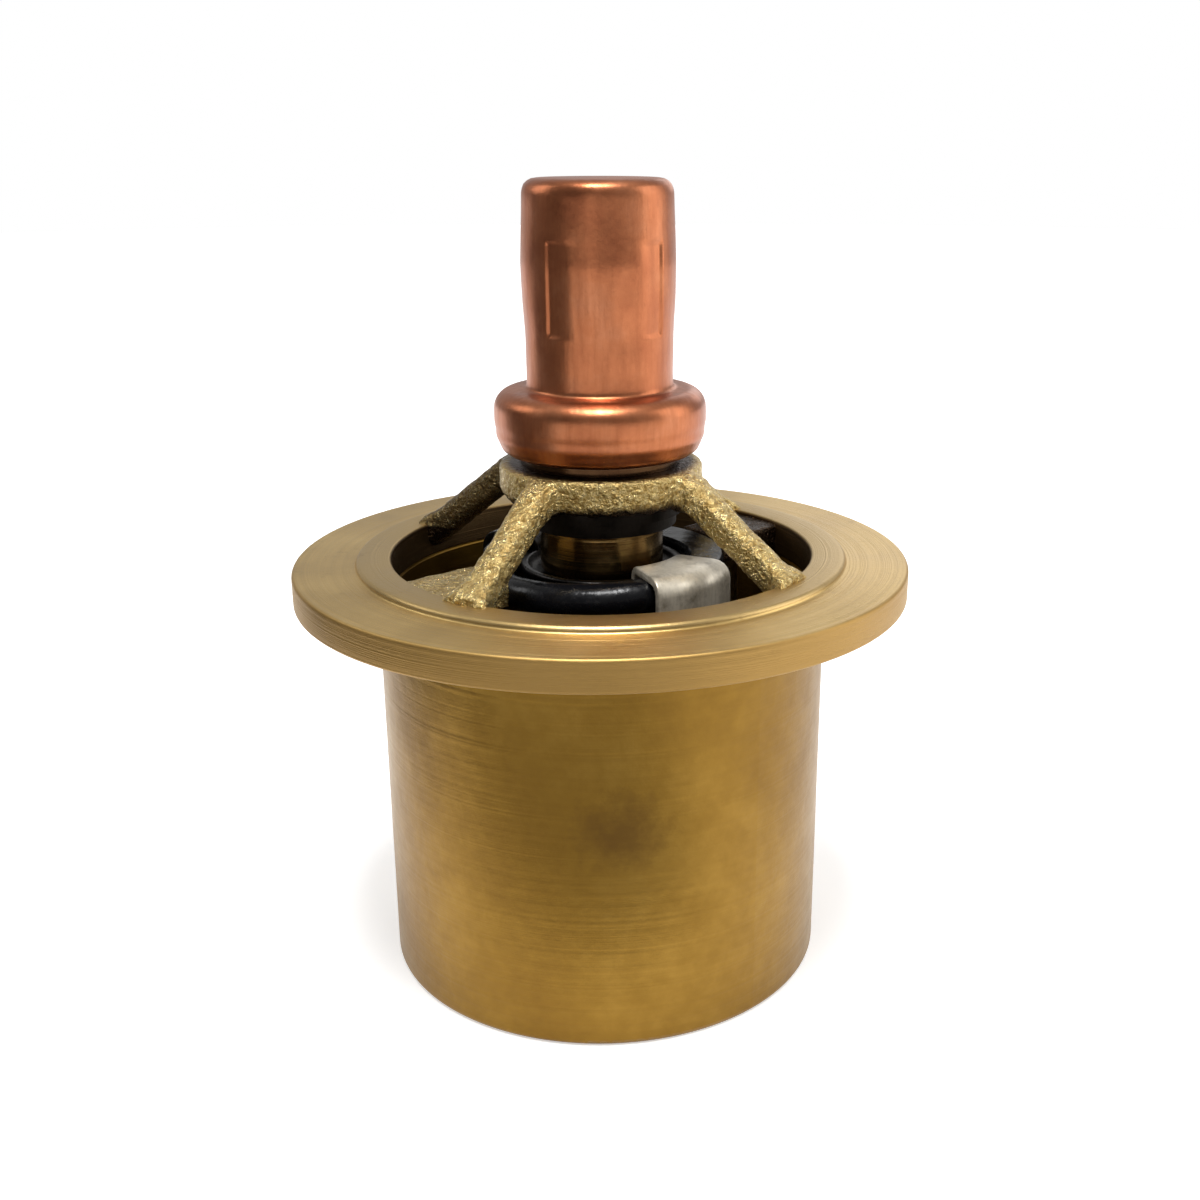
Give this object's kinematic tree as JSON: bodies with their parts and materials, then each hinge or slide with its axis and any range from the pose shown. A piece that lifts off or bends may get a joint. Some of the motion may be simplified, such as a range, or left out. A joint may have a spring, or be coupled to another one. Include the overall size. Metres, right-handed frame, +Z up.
{
  "type": "temperature control valve",
  "caption": "Wax-element temperature control valve cartridge: brass flange on legs, copper sensing cup, return spring and a sliding brass sleeve that opens below the flange.",
  "frame": {"origin": "centre of the sleeve's bottom edge, which the closed valve stands on", "axes": "+Z up the valve's axis to the sensing cup; -Y is the side seen in the picture, +X to its right"},
  "size_m": [0.076, 0.076, 0.098],
  "materials": {
    "seat_casting": "cast legs and hub, turned flange",
    "sliding_sleeve": "turned, tarnished",
    "bridge_steel": "pressed, bright",
    "plate_steel": "pressed, dull",
    "rod_steel": "turned",
    "spring_steel": "black, glossy",
    "copper": "drawn copper, satin",
    "wax": "solid wax",
    "seal_rubber": "moulded rubber",
    "guide_brass": "turned",
    "white_plastic": "slippery plastic",
    "piston_steel": "ground",
    "black_steel": "blackened"
  },
  "bodies": {
    "seat": {"seat_casting": "seat_casting", "sensor_cup": "copper", "wax_charge": "wax", "diaphragm": "seal_rubber", "element_guide": "guide_brass", "piston_wiper": "white_plastic", "hub_washer": "black_steel", "neck_snap_ring": "black_steel", "tie_rod_front": "rod_steel", "tie_rod_rear": "rod_steel", "tie_nuts": "rod_steel", "lower_spring_seat": "plate_steel", "return_spring": "spring_steel"},
    "sleeve": {"sliding_sleeve": "sliding_sleeve", "spring_bridge": "bridge_steel", "bridge_rivets": "bridge_steel"},
    "piston": {"piston": "piston_steel", "backup_disc": "white_plastic", "rubber_plug": "seal_rubber"}
  },
  "joints": [
    {"name": "sleeve_slide", "type": "slide", "parent": "seat", "child": "sleeve", "axis": [0, 0, -1], "range_m": [0, 0.009], "stiffness_N_per_m": 20000, "springref_m": -0.003, "deforming": ["return_spring"]},
    {"name": "piston_stroke", "type": "slide", "parent": "seat", "child": "piston", "axis": [0, 0, -1], "range_m": [0, 0.009]}
  ],
  "couplings": [
    {"joint": "piston_stroke", "follows": "sleeve_slide", "ratio": 1}
  ]
}
